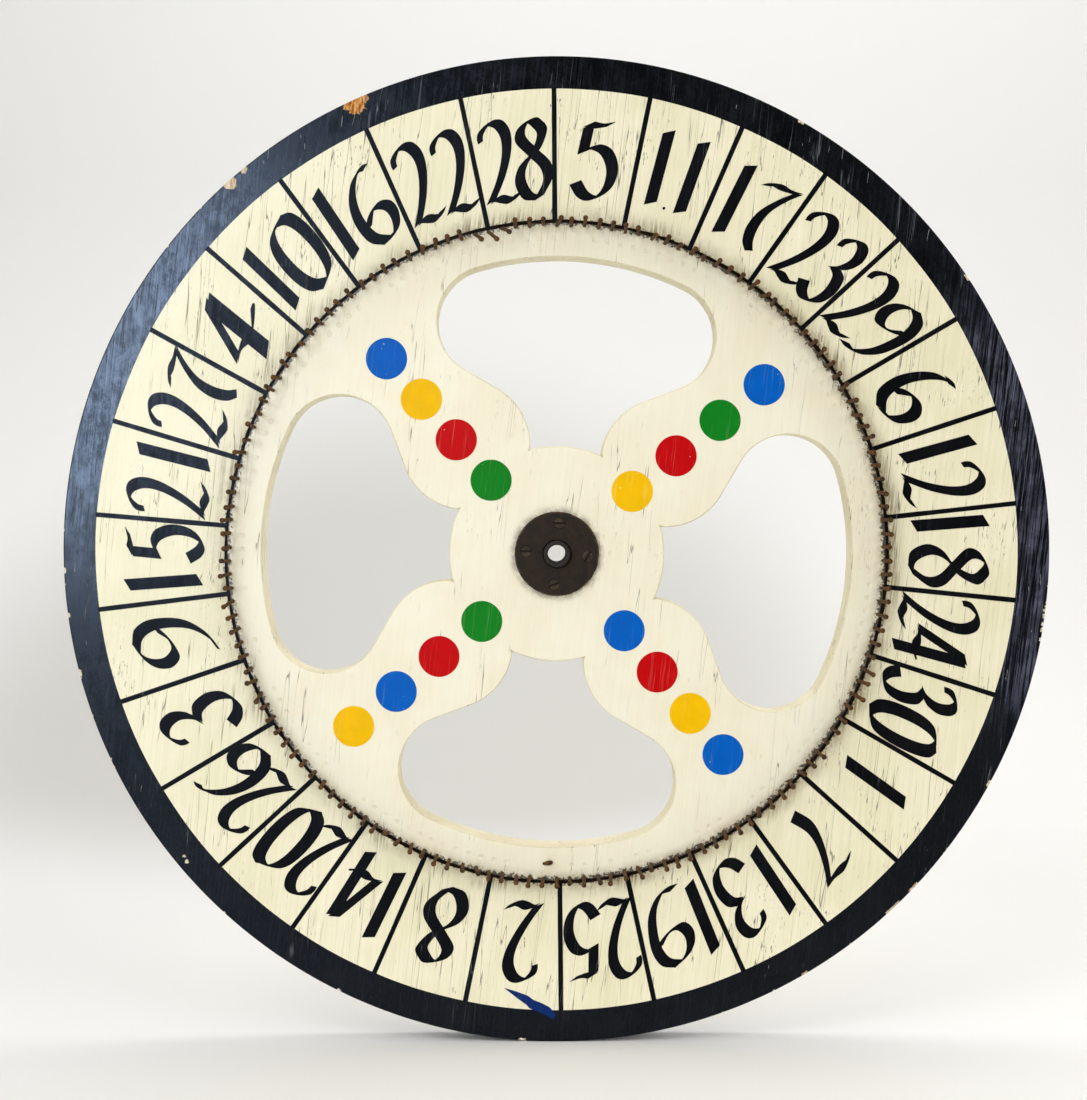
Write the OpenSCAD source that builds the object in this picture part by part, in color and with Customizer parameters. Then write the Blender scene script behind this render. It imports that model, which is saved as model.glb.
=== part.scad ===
// Wooden number wheel, 24 inches across, that spins on a sleeve held by a stand's or a wall's spindle.
// A plywood board with four cut-outs carries a ring of nails, five to each numbered sector, and two
// hub plates. A bush lines the board's middle hole, and the sleeve runs in the bush between the plates.
// The wheel stands upright in the XZ plane with its front facing -Y, and its centre is the origin.
// Each piece is drawn flat, front side up, and then stood upright. Turns are in degrees, clockwise
// from the top as seen from the front, and the first sector's line is at 0.

/* [Board] */
// Diameter of the wheel
wheel_d = 609.6; // [508:0.1:732]
// Thickness of the plywood
board_t = 19; // [15.5:0.1:30]
// Chamfer on the rim's two edges
rim_ease = 0.8; // [0.2:0.1:3]

/* [Cut-outs] */
// Turn from the first sector's line to the middle of the first cut-out
cut_turn = 5; // [0:0.5:45]
// Radius of the cut-outs' outer edge
cut_outer_r = 182.5; // [155:0.5:220]
// Radius of the solid centre that the spokes meet
centre_r = 66.5; // [50:0.5:80]
// Radius of each cut-out's two round outer corners
lobe_r = 34; // [25:0.5:41]
// Turn from the middle of a cut-out to the centre of its round corner
lobe_turn = 20.5; // [17:0.1:24.6]
// Radius of the round swell on each side of a spoke
swell_r = 40; // [32:0.5:48]
// Width of each cut-out's neck, between two swells
neck_w = 44; // [34:0.5:54]

/* [Nails] */
// Number of numbered sectors
sector_count = 30; // [20:1:40]
// Nails in each sector
nails_per_sector = 5; // [3:1:6]
// Distance from the cut-outs' outer edge to the circle of nails
nail_land = 19.5; // [14:0.5:25]
// Diameter of a nail
nail_d = 2; // [1.5:0.1:3]
// Diameter of a nail's head
nail_head_d = 2.8; // [2:0.1:4]
// Height of a nail's head
nail_head_h = 1.4; // [0.8:0.1:2.5]
// Length of a nail's sharp end
nail_point = 3; // [1:0.5:5]
// How far a nail stands out of the board
nail_out = 21; // [15:0.5:30]
// Wood left behind a nail's point
nail_back = 2; // [1:0.5:4]
// Turn to the broken nail below the hub
stump_turn = 182; // [170:0.5:190]
// Distance from the circle of nails in to the broken nail
stump_in = 9; // [6:0.5:13]
// How far the broken nail stands out of the board
stump_out = 2; // [0.5:0.5:6]

/* [Hub] */
// Bore for the spindle
bore_d = 11.1; // [8:0.1:16]
// Wall of the sleeve at its two thin ends
sleeve_wall = 2.7; // [1.5:0.1:4]
// Step up from the sleeve's ends to its thick middle
shoulder_step = 2.75; // [1.5:0.05:4]
// How far each end of the sleeve stands out of its plate
sleeve_proud = 4; // [1:0.5:12]
// Wall of the bush
bush_wall = 3; // [1.5:0.1:5]
// Thickness of a hub plate
plate_t = 3.2; // [2.5:0.1:6]
// Chamfer on a plate's outer edge
plate_ease = 0.6; // [0.2:0.1:1.5]
// Distance from the bush's outside to the screws' centre lines
screw_land = 4.95; // [4:0.05:8]
// Distance from the screws' centre lines to a plate's edge
plate_edge = 7; // [5.5:0.1:12]

/* [Screws] */
// Number of screws in each plate
screw_count = 4; // [3:1:6]
// Diameter of a screw's shank
screw_d = 3.5; // [2.5:0.1:4.5]
// Diameter of a screw's countersunk head
screw_head_d = 7.2; // [6:0.1:9]
// Length of a screw
screw_len = 12.7; // [10:0.1:15]
// Length of a screw's sharp end
screw_point = 4; // [1:0.5:6]
// Width of a screw's slot
slot_w = 1; // [0.6:0.1:1.4]
// Depth of a screw's slot
slot_h = 0.9; // [0.4:0.1:1.3]

/* [Fits] */
// Radial clearance of the sleeve in its bush
running = 0.05; // [0.01:0.01:0.1]
// Gap between the sleeve's shoulders and each plate
end_play = 0.2; // [0.1:0.05:0.5]
// Radial gap between the sleeve's ends and each plate's hole
plate_gap = 0.3; // [0.15:0.05:0.6]
// Gap round the nails, the screws and the bush in their holes
seat_gap = 0.05; // [0.02:0.01:0.1]

/* [Hidden] */
$fn = 96;
CREAM = "#efe8cb";
BLACKENED = "#4a423b";
BRONZE = "#a5793f";
RUST = "#5b3a26";
STEEL = "#6d6255";

face = board_t / 2;
past_face = 1;
cut_count = 4;
cut_pitch = 360 / cut_count;

// A cut-out straight above the centre: each round corner touches the outer edge from inside, each swell
// is on a spoke's middle line, and a straight flank touches the corner and the swell. Curves that
// touch run into each other by the bite, so that they cross cleanly.
bite = 0.02;
lobe_out = cut_outer_r - lobe_r + bite;
lobe = lobe_out * [sin(lobe_turn), cos(lobe_turn)];
swell_out = (neck_w / 2 + swell_r) / sin(cut_pitch / 2);
swell = swell_out * [sin(cut_pitch / 2), cos(cut_pitch / 2)];
lobe_to_swell = swell - lobe;
flank_turn = acos(min(1, (lobe_r + swell_r) / norm(lobe_to_swell)));
flank_normal = turned(lobe_to_swell / norm(lobe_to_swell), flank_turn);
flank_top = lobe + (lobe_r - bite) * flank_normal;
flank_foot = swell - (swell_r - bite) * flank_normal;
past_edge = 1.2 * cut_outer_r * [sin(lobe_turn), cos(lobe_turn)];
half_wedge = [swell, flank_foot, flank_top, lobe, past_edge];
cut_wedge = concat(half_wedge, mirrored(half_wedge));

nail_circle_r = cut_outer_r + nail_land;
nail_pitch = 360 / sector_count / nails_per_sector;
nail_depth = board_t - nail_back;
stump_r = nail_circle_r - stump_in;

sleeve_d = bore_d + 2 * sleeve_wall;
shoulder_d = sleeve_d + 2 * shoulder_step;
bush_bore_d = shoulder_d + 2 * running;
bush_d = bush_bore_d + 2 * bush_wall;
screw_circle_r = bush_d / 2 + screw_land;
plate_d = 2 * (screw_circle_r + plate_edge);
plate_bore_d = sleeve_d + 2 * plate_gap;
sleeve_len = board_t + 2 * (plate_t + sleeve_proud);
sleeve_ease = 0.5;
head_h = (screw_head_d - screw_d) / 2;
front_slots = [90, 30, 70, 90];
back_slots = [75, 10, 140, 60];
back_plate_turn = 180 / screw_count;

SECTORS = [for (i = [1 : sector_count]) str("nails_sector_", i)];

function turned(v, a) = [v.x * cos(a) - v.y * sin(a), v.x * sin(a) + v.y * cos(a)];
function mirrored(points) = [for (i = [len(points) - 1 : -1 : 0]) [-points[i].x, points[i].y]];

// Stands a piece that was drawn front side up
module upright() {
    rotate([90, 0, 0]) children();
}

// Turns a piece clockwise, as seen from the front
module at_turn(turn) {
    rotate([0, 0, -turn]) children();
}

// Repeats a piece at each screw of a plate that faces front
module at_screws(plate_turn) {
    for (i = [0 : screw_count - 1])
        at_turn(plate_turn + i * 360 / screw_count) translate([0, screw_circle_r, 0]) children();
}

// Turns a hub piece round to the back of the wheel
module at_back() {
    rotate([0, 180, 0]) children();
}

module through_board(r) {
    cylinder(r = r, h = board_t + 2 * past_face, center = true);
}

module cut_out() {
    difference() {
        union() {
            for (side = [-1, 1]) translate([side * lobe.x, lobe.y, 0]) through_board(lobe_r);
            intersection() {
                through_board(cut_outer_r);
                linear_extrude(height = board_t + 2 * past_face, center = true) polygon(cut_wedge);
            }
        }
        for (side = [-1, 1]) translate([side * swell.x, swell.y, 0]) through_board(swell_r);
        through_board(centre_r);
    }
}

// A nail's or a screw's hole, from the front face down
module blind_hole(d, depth) {
    translate([0, 0, face - depth]) cylinder(d = d + 2 * seat_gap, h = depth + past_face);
}

module board_blank() {
    r = wheel_d / 2;
    rotate_extrude() polygon([
        [0, -face],
        [r - rim_ease, -face],
        [r, -face + rim_ease],
        [r, face - rim_ease],
        [r - rim_ease, face],
        [0, face]
    ]);
}

module wheel_board() {
    color(CREAM) upright() difference() {
        board_blank();
        for (i = [0 : cut_count - 1]) at_turn(cut_turn + i * cut_pitch) cut_out();
        through_board(bush_d / 2 + seat_gap);
        at_screws(cut_turn) blind_hole(screw_d, screw_len - plate_t + seat_gap);
        at_back() at_screws(back_plate_turn - cut_turn) blind_hole(screw_d, screw_len - plate_t + seat_gap);
        for (i = [0 : sector_count * nails_per_sector - 1])
            at_turn(i * nail_pitch) translate([0, nail_circle_r, 0]) blind_hole(nail_d, nail_depth);
        at_turn(stump_turn) translate([0, stump_r, 0]) blind_hole(nail_d, nail_depth);
    }
}

// A nail that points down from z = 0, with its top at z = out
module nail(out, head) {
    r = nail_d / 2;
    head_r = head ? nail_head_d / 2 : r;
    neck = head ? out - nail_head_h : out - r;
    rotate_extrude() polygon([
        [0, -nail_depth],
        [r, -nail_depth + nail_point],
        [r, neck],
        [head_r, neck + (head_r - r)],
        [head_r, out - r / 4],
        [head_r - r / 4, out],
        [0, out]
    ]);
}

module nails_sector(i) {
    for (k = [0 : nails_per_sector - 1])
        color(RUST) upright() at_turn(((i - 1) * nails_per_sector + k) * nail_pitch)
            translate([0, nail_circle_r, face]) nail(nail_out, true);
}

module broken_nail() {
    color(RUST) upright() at_turn(stump_turn) translate([0, stump_r, face]) nail(stump_out, false);
}

// A plate that lies on the board's front face, with its screws at plate_turn
module hub_plate(plate_turn) {
    r = plate_d / 2;
    difference() {
        translate([0, 0, face]) rotate_extrude() polygon([
            [plate_bore_d / 2, 0],
            [r, 0],
            [r, plate_t - plate_ease],
            [r - plate_ease, plate_t],
            [plate_bore_d / 2, plate_t]
        ]);
        at_screws(plate_turn) translate([0, 0, face + plate_t]) {
            translate([0, 0, -plate_t - past_face])
                cylinder(d = screw_d + 2 * seat_gap, h = plate_t + 2 * past_face);
            translate([0, 0, -head_h])
                cylinder(d1 = screw_d + 2 * seat_gap, d2 = screw_head_d + 2 * seat_gap, h = head_h);
        }
    }
}

// A countersunk screw that points down, with its flat top at z = 0 and its slot at slot_turn
module slotted_screw(slot_turn) {
    r = screw_d / 2;
    difference() {
        rotate_extrude() polygon([
            [0, -screw_len],
            [r, -screw_len + screw_point],
            [r, -head_h],
            [screw_head_d / 2, 0],
            [0, 0]
        ]);
        at_turn(slot_turn) cube([slot_w, screw_head_d + past_face, 2 * slot_h], center = true);
    }
}

// Screws of a plate that faces front: slots are turned clockwise from the wheel's upright line
module plate_screws(plate_turn, slots) {
    for (i = [0 : screw_count - 1])
        at_turn(plate_turn + i * 360 / screw_count)
            translate([0, screw_circle_r, face + plate_t])
                at_turn(slots[i % len(slots)] - plate_turn - i * 360 / screw_count) slotted_screw(0);
}

module front_plate() {
    color(BLACKENED) upright() hub_plate(cut_turn);
}

module back_plate() {
    color(BLACKENED) upright() at_back() hub_plate(back_plate_turn - cut_turn);
}

module front_plate_screws() {
    color(STEEL) upright() plate_screws(cut_turn, front_slots);
}

module back_plate_screws() {
    color(STEEL) upright() at_back() plate_screws(back_plate_turn - cut_turn, back_slots);
}

module hub_bush() {
    color(BRONZE) upright() difference() {
        cylinder(d = bush_d, h = board_t, center = true);
        through_board(bush_bore_d / 2);
    }
}

module spindle_sleeve() {
    r = sleeve_d / 2;
    shoulder_z = face - end_play;
    end_z = sleeve_len / 2;
    color(STEEL) upright() rotate_extrude() polygon([
        [bore_d / 2, -end_z],
        [r - sleeve_ease, -end_z],
        [r, -end_z + sleeve_ease],
        [r, -shoulder_z],
        [shoulder_d / 2, -shoulder_z],
        [shoulder_d / 2, shoulder_z],
        [r, shoulder_z],
        [r, end_z - sleeve_ease],
        [r - sleeve_ease, end_z],
        [bore_d / 2, end_z]
    ]);
}

wheel_board();
front_plate();
back_plate();
hub_bush();
spindle_sleeve();
front_plate_screws();
back_plate_screws();
broken_nail();
for (i = [1 : sector_count]) nails_sector(i);
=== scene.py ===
import math
import random

import bmesh
import bpy
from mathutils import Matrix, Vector, geometry, noise


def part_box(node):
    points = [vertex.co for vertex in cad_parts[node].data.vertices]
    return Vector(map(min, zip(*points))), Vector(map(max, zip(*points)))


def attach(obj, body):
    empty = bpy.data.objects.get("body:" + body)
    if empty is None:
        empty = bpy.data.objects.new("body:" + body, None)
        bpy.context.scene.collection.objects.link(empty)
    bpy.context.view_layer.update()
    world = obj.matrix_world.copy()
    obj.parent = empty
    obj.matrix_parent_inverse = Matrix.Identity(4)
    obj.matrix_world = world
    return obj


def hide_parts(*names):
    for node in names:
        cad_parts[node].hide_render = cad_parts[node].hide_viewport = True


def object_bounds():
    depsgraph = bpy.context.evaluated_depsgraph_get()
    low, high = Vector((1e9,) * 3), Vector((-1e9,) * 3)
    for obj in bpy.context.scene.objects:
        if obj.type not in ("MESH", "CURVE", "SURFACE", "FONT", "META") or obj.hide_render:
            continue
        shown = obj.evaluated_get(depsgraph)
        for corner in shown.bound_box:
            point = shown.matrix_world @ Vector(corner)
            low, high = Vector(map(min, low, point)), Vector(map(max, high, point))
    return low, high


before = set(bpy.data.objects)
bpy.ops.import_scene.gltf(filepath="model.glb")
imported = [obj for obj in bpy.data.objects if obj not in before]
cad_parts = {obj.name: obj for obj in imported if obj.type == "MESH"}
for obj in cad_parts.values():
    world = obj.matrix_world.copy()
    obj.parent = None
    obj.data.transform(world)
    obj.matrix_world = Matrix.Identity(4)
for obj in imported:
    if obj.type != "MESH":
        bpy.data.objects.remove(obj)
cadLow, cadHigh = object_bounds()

print("frame loaded:", len(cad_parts), "nodes")

mm = 0.001
scene = bpy.context.scene
boardLow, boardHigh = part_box("wheel_board")
frontY, backY = boardLow.y, boardHigh.y
rimRadius = boardHigh.z
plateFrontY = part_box("front_plate")[0].y


# flat shapes: points are (right, up) as seen from the front, in metres

def turned(point, turn):
    # clockwise, in degrees
    c, s = math.cos(math.radians(turn)), math.sin(math.radians(turn))
    return (point[0] * c + point[1] * s, point[1] * c - point[0] * s)


def clockPoint(turn, radius):
    return turned((0, radius), turn)


def arc(centre, radius, start, end, step=1.2 * mm):
    # start and end are clockwise turns from straight up
    count = max(2, math.ceil(abs(math.radians(end - start)) * radius / step))
    spread = [start + (end - start) * i / count for i in range(count + 1)]
    return [(centre[0] + p[0], centre[1] + p[1]) for p in (clockPoint(t, radius) for t in spread)]


def turnOf(vector):
    return math.degrees(math.atan2(vector[0], vector[1]))


def insetLoop(points, inset):
    # moves each point to the left of the way the loop runs
    moved = []
    for i, p in enumerate(points):
        before, after = points[i - 1], points[(i + 1) % len(points)]
        a = Vector((p[0] - before[0], p[1] - before[1])).normalized()
        b = Vector((after[0] - p[0], after[1] - p[1])).normalized()
        left = Vector((-a.y - b.y, a.x + b.x))
        left = left / max(left.length_squared / 2, 0.5)
        moved.append((p[0] + left.x * inset, p[1] + left.y * inset))
    return moved


def newPiece(name, bm, body, materials, replaced=()):
    mesh = bpy.data.meshes.new(name)
    bm.to_mesh(mesh)
    bm.free()
    piece = bpy.data.objects.new(name, mesh)
    scene.collection.objects.link(piece)
    for material in materials:
        mesh.materials.append(material)
    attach(piece, body)
    if replaced:
        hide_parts(*replaced)
    return piece


def ringStrip(bm, rings, materialIndex=0, smooth=True):
    # joins rings of the same length, each the next one out
    for upper, lower in zip(rings, rings[1:]):
        for i in range(len(upper)):
            j = (i + 1) % len(upper)
            face = bm.faces.new((upper[i], lower[i], lower[j], upper[j]))
            face.material_index = materialIndex
            face.smooth = smooth


def anticlockwise(indices, points):
    area = 0.0
    for a, b in zip(indices, indices[1:] + indices[:1]):
        area += points[a].x * points[b].y - points[b].x * points[a].y
    return (indices if area > 0 else indices[::-1]), abs(area) / 2


def fillRegion(bm, rings, facesFront, materialIndex=0):
    # fills the flat region inside the first ring of vertices and outside all the others
    verts = [v for ring in rings for v in ring]
    flat = [Vector((v.co.x, v.co.z)) for v in verts]
    loops, start = [], 0
    for ring in rings:
        loops.append(anticlockwise(list(range(start, start + len(ring))), flat)[0])
        start += len(ring)
    _, _, triangles, origVerts, _, origFaces = geometry.delaunay_2d_cdt(flat, [], loops, 1, 1e-9)
    for triangle, sources in zip(triangles, origFaces):
        if list(sources) != [0]:
            continue
        corners = [verts[origVerts[k][0]] for k in triangle]
        a, b, c = (v.co for v in corners)
        upward = (b.x - a.x) * (c.z - a.z) - (c.x - a.x) * (b.z - a.z) > 0
        if upward != facesFront:
            corners.reverse()
        face = bm.faces.new(corners)
        face.material_index = materialIndex


def ringOf(bm, points, y):
    return [bm.verts.new((p[0], y, p[1])) for p in points]


def markSharp(bm, degrees=34):
    bm.normal_update()
    for edge in bm.edges:
        if len(edge.link_faces) == 2 and edge.calc_face_angle(0) > math.radians(degrees):
            edge.smooth = False


def circleRing(bm, centre, radius, y, count):
    # vertices round a circle, clockwise from straight up
    points = [clockPoint(360 * i / count, radius) for i in range(count)]
    return ringOf(bm, [(centre[0] + p[0], centre[1] + p[1]) for p in points], y)


def paintFilm(bm, polygons, thickness, sink=0.03 * mm):
    # a thin coat on the board's front: the union of flat polygons, given as lists of points
    flat, faces = [], []
    for polygon in polygons:
        start = len(flat)
        flat += [Vector(p) for p in polygon]
        parts = [list(range(start, start + len(polygon)))]
        if len(polygon) == 4:
            parts = [[start, start + 1, start + 2], [start, start + 2, start + 3]]
        for part in parts:
            ordered, area = anticlockwise(part, flat)
            if area > 1e-11:
                faces.append(ordered)
    points, _, triangles, _, _, origins = geometry.delaunay_2d_cdt(flat, [], faces, 1, 1e-7)
    kept = [t for t, origin in zip(triangles, origins) if origin]
    top = {k: bm.verts.new((points[k].x, frontY - thickness, points[k].y)) for t in kept for k in t}
    low = {k: bm.verts.new((v.co.x, frontY + sink, v.co.z)) for k, v in top.items()}
    sides = {}
    for t in kept:
        a, b, c = (points[k] for k in t)
        if (b.x - a.x) * (c.y - a.y) - (c.x - a.x) * (b.y - a.y) < 0:
            t = t[::-1]
        bm.faces.new([top[k] for k in t])
        bm.faces.new([low[k] for k in reversed(t)])
        for i in range(3):
            sides[(t[i], t[(i + 1) % 3])] = True
    for a, b in sides:
        if (b, a) not in sides:
            bm.faces.new((top[b], top[a], low[a], low[b]))


def wobble(x, seed, size):
    # smooth, repeatable unevenness of a hand
    return size * noise.noise(Vector((x, seed * 7.31, seed)))


def addNode(tree, kind, inputs=None, **settings):
    made = tree.nodes.new("ShaderNode" + kind)
    for key, value in settings.items():
        setattr(made, key, value)
    for key, value in (inputs or {}).items():
        if isinstance(value, bpy.types.NodeSocket):
            tree.links.new(value, made.inputs[key])
        else:
            made.inputs[key].default_value = value
    return made


def mixColours(tree, factor, first, second, mode="MIX"):
    made = addNode(tree, "Mix", {0: factor, 6: first, 7: second}, data_type="RGBA", blend_type=mode)
    return made.outputs[2]


def calc(tree, operation, first, second=0.5):
    return addNode(tree, "Math", {0: first, 1: second}, operation=operation).outputs[0]


def product(tree, *values):
    result = values[0]
    for value in values[1:]:
        result = calc(tree, "MULTIPLY", result, value)
    return result


def measure(tree, operation, first, second=(0.0, 0.0, 0.0)):
    # a length, a distance or a dot product
    return addNode(tree, "VectorMath", {0: first, 1: second}, operation=operation).outputs["Value"]


def ramp(tree, value, low, high, toLow=0.0, toHigh=1.0):
    made = addNode(tree, "MapRange", {"Value": value, "From Min": low, "From Max": high,
                                      "To Min": toLow, "To Max": toHigh}, interpolation_type="SMOOTHSTEP")
    return made.outputs[0]


def noiseValue(tree, vector, scale, detail=3.0, roughness=0.5):
    return addNode(tree, "TexNoise", {"Vector": vector, "Scale": scale, "Detail": detail,
                                      "Roughness": roughness}).outputs["Fac"]


def stretched(tree, vector, x, y, z):
    return addNode(tree, "VectorMath", {0: vector, 1: (x, y, z)}, operation="MULTIPLY").outputs[0]


def frontMask(tree, place):
    # 1 on the board's front and 0 from 2 mm under it
    depth = addNode(tree, "SeparateXYZ", {0: place}).outputs["Y"]
    return ramp(tree, depth, frontY + 1.0 * mm, frontY + 2.0 * mm, 1.0, 0.0)


def rgb(r, g, b):
    # from screen values of 0 to 255
    def linear(c):
        c = c / 255
        return c / 12.92 if c <= 0.04045 else ((c + 0.055) / 1.055) ** 2.4
    return (linear(r), linear(g), linear(b), 1.0)


def newGroup(name, inputs, outputs):
    tree = bpy.data.node_groups.new(name, "ShaderNodeTree")
    for socketName, kind, value in inputs:
        socket = tree.interface.new_socket(socketName, in_out="INPUT", socket_type="NodeSocket" + kind)
        if value is not None:
            socket.default_value = value
    for socketName, kind in outputs:
        tree.interface.new_socket(socketName, in_out="OUTPUT", socket_type="NodeSocket" + kind)
    return tree, tree.nodes.new("NodeGroupInput"), tree.nodes.new("NodeGroupOutput")


def makeGrainGroup():
    # fine streaks, hairline cracks and dark flecks that run up the board, leaning a little
    tree, start, end = newGroup("boardGrain", [
        ("Vector", "Vector", None), ("Lean", "Float", -0.11), ("Streak Scale", "Float", 900.0),
        ("Crack Scale", "Float", 190.0), ("Crack Width", "Float", 0.010), ("Crack Share", "Float", 0.5),
        ("Fleck Share", "Float", 0.5)], [
        ("Streak", "Float"), ("Crack", "Float"), ("Fleck", "Float"), ("Height", "Float")])
    inn = start.outputs
    along = addNode(tree, "VectorRotate", {"Vector": inn["Vector"], "Angle": inn["Lean"]},
                    rotation_type="Y_AXIS").outputs[0]
    fine = stretched(tree, along, 1, 1, 0.03)
    streak = noiseValue(tree, fine, inn["Streak Scale"], 4, 0.6)
    long = stretched(tree, along, 1, 1, 0.036)
    level = noiseValue(tree, long, inn["Crack Scale"], 2)
    contour = calc(tree, "ABSOLUTE", calc(tree, "SUBTRACT", level, 0.5))
    line = addNode(tree, "MapRange", {"Value": contour, "From Min": 0.0, "From Max": inn["Crack Width"],
                                      "To Min": 1.0, "To Max": 0.0}).outputs[0]
    patches = noiseValue(tree, stretched(tree, along, 1, 1, 0.22), 60.0, 3, 0.6)
    here = ramp(tree, calc(tree, "ADD", patches, product(tree, inn["Crack Share"], 0.3)), 0.68, 0.76)
    crack = product(tree, line, here)
    dashes = noiseValue(tree, stretched(tree, along, 1, 1, 0.15), 1300.0, 2)
    thick = noiseValue(tree, stretched(tree, along, 1, 1, 0.5), 45.0, 3, 0.7)
    share = product(tree, inn["Fleck Share"], 0.25)
    crowded = ramp(tree, calc(tree, "ADD", thick, share), 0.66, 0.8)
    fleck = product(tree, ramp(tree, dashes, 0.62, 0.7), crowded)
    height = calc(tree, "SUBTRACT", product(tree, streak, 0.35), crack)
    for name, value in (("Streak", streak), ("Crack", crack), ("Fleck", fleck), ("Height", height)):
        tree.links.new(value, end.inputs[name])
    return tree


def makeGrimeGroup():
    # brown dirt round a ring: a dark rim along it and a haze on both sides
    tree, start, end = newGroup("ringGrime", [
        ("Vector", "Vector", None), ("Ring", "Float", 0.2035), ("Reach In", "Float", 0.0085),
        ("Reach Out", "Float", 0.0125), ("Thick Side", "Vector", (0.85, 0.0, -0.35)),
        ("Old Ring", "Float", 0.1942)], [
        ("Rim", "Float"), ("Haze", "Float"), ("Spots", "Float"), ("Radius", "Float")])
    inn = start.outputs
    flat = stretched(tree, inn["Vector"], 1, 0, 1)
    radius = measure(tree, "LENGTH", flat)
    way = addNode(tree, "VectorMath", {0: flat}, operation="NORMALIZE").outputs[0]
    toward = measure(tree, "DOT_PRODUCT", way, inn["Thick Side"])
    thick = ramp(tree, toward, -0.5, 0.75, 0.5, 1.0)
    away = calc(tree, "SUBTRACT", radius, inn["Ring"])
    outside = calc(tree, "DIVIDE", calc(tree, "MAXIMUM", away, 0.0), inn["Reach Out"])
    inward = calc(tree, "MAXIMUM", product(tree, away, -1.0), 0.0)
    inside = calc(tree, "DIVIDE", inward, inn["Reach In"])
    near = calc(tree, "MAXIMUM", calc(tree, "SUBTRACT", 1.0, calc(tree, "ADD", outside, inside)), 0.0)
    onFront = frontMask(tree, inn["Vector"])
    patches = noiseValue(tree, flat, 110.0, 5, 0.65)
    haze = product(tree, calc(tree, "POWER", near, 1.7), ramp(tree, patches, 0.25, 0.6), thick, onFront)
    clumps = noiseValue(tree, flat, 400.0, 5, 0.65)
    farthest = ramp(tree, thick, 0.5, 1.0, 0.0033, 0.0043)
    reach = product(tree, ramp(tree, clumps, 0.32, 0.68), farthest)
    rim = ramp(tree, calc(tree, "SUBTRACT", reach, calc(tree, "ABSOLUTE", away)), -0.0006, 0.0012)
    rim = product(tree, rim, onFront)
    # filled holes of an older ring of nails, one every 2.4 degrees
    parts = addNode(tree, "SeparateXYZ", {0: flat}).outputs
    angle = calc(tree, "ARCTAN2", parts["X"], parts["Z"])
    wave = calc(tree, "COSINE", calc(tree, "ADD", product(tree, angle, 150.0), 0.9))
    across = calc(tree, "ABSOLUTE", calc(tree, "SUBTRACT", radius, inn["Old Ring"]))
    dent = product(tree, ramp(tree, wave, 0.2, 0.9), ramp(tree, across, 0.0006, 0.0017, 1.0, 0.0), onFront)
    spots = product(tree, dent, ramp(tree, noiseValue(tree, flat, 34.0, 3), 0.35, 0.6))
    for name, value in (("Rim", rim), ("Haze", haze), ("Spots", spots), ("Radius", radius)):
        tree.links.new(value, end.inputs[name])
    return tree


def makeRustGroup():
    tree, start, end = newGroup("rustPatches", [
        ("Vector", "Vector", None), ("Dark", "Color", (0, 0, 0, 1)), ("Light", "Color", (0, 0, 0, 1)),
        ("Scale", "Float", 300.0)], [("Color", "Color"), ("Roughness", "Float"), ("Height", "Float")])
    inn = start.outputs
    patches = noiseValue(tree, inn["Vector"], inn["Scale"], 5, 0.65)
    pits = noiseValue(tree, inn["Vector"], product(tree, inn["Scale"], 4.0), 3)
    share = ramp(tree, patches, 0.38, 0.64)
    colour = mixColours(tree, share, inn["Dark"], inn["Light"])
    pitted = ramp(tree, pits, 0.55, 0.75, 0.0, 0.5)
    dusty = mixColours(tree, pitted, colour, (0.0, 0.0, 0.0, 1.0), "MULTIPLY")
    tree.links.new(dusty, end.inputs["Color"])
    tree.links.new(ramp(tree, patches, 0.3, 0.7, 0.55, 0.85), end.inputs["Roughness"])
    tree.links.new(calc(tree, "ADD", patches, pits), end.inputs["Height"])
    return tree


grainGroup = makeGrainGroup()
grimeGroup = makeGrimeGroup()
rustGroup = makeRustGroup()


def useGroup(tree, group, inputs):
    made = tree.nodes.new("ShaderNodeGroup")
    made.node_tree = group
    for key, value in inputs.items():
        if isinstance(value, bpy.types.NodeSocket):
            tree.links.new(value, made.inputs[key])
        else:
            made.inputs[key].default_value = value
    return made.outputs


def newMaterial(name):
    material = bpy.data.materials.new(name)
    material.use_nodes = True
    tree = material.node_tree
    shader = tree.nodes["Principled BSDF"]
    place = addNode(tree, "TexCoord").outputs["Object"]
    return material, tree, shader, place


def addBump(tree, shader, height, distance, strength=1.0):
    bump = addNode(tree, "Bump", {"Height": height, "Distance": distance, "Strength": strength})
    tree.links.new(bump.outputs[0], shader.inputs["Normal"])


grain = {"lean": -0.11}
radii = {  # in metres from the middle: where each effect of the cream paint starts and ends
    "crackSpread": (0.19, 0.207), "numberRing": (0.2035, 0.2045), "fleckSpread": (0.195, 0.206),
    "creep": (0.2045, 0.2185), "hubShadeAndDirt": (0.0255, 0.031),
}


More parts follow.
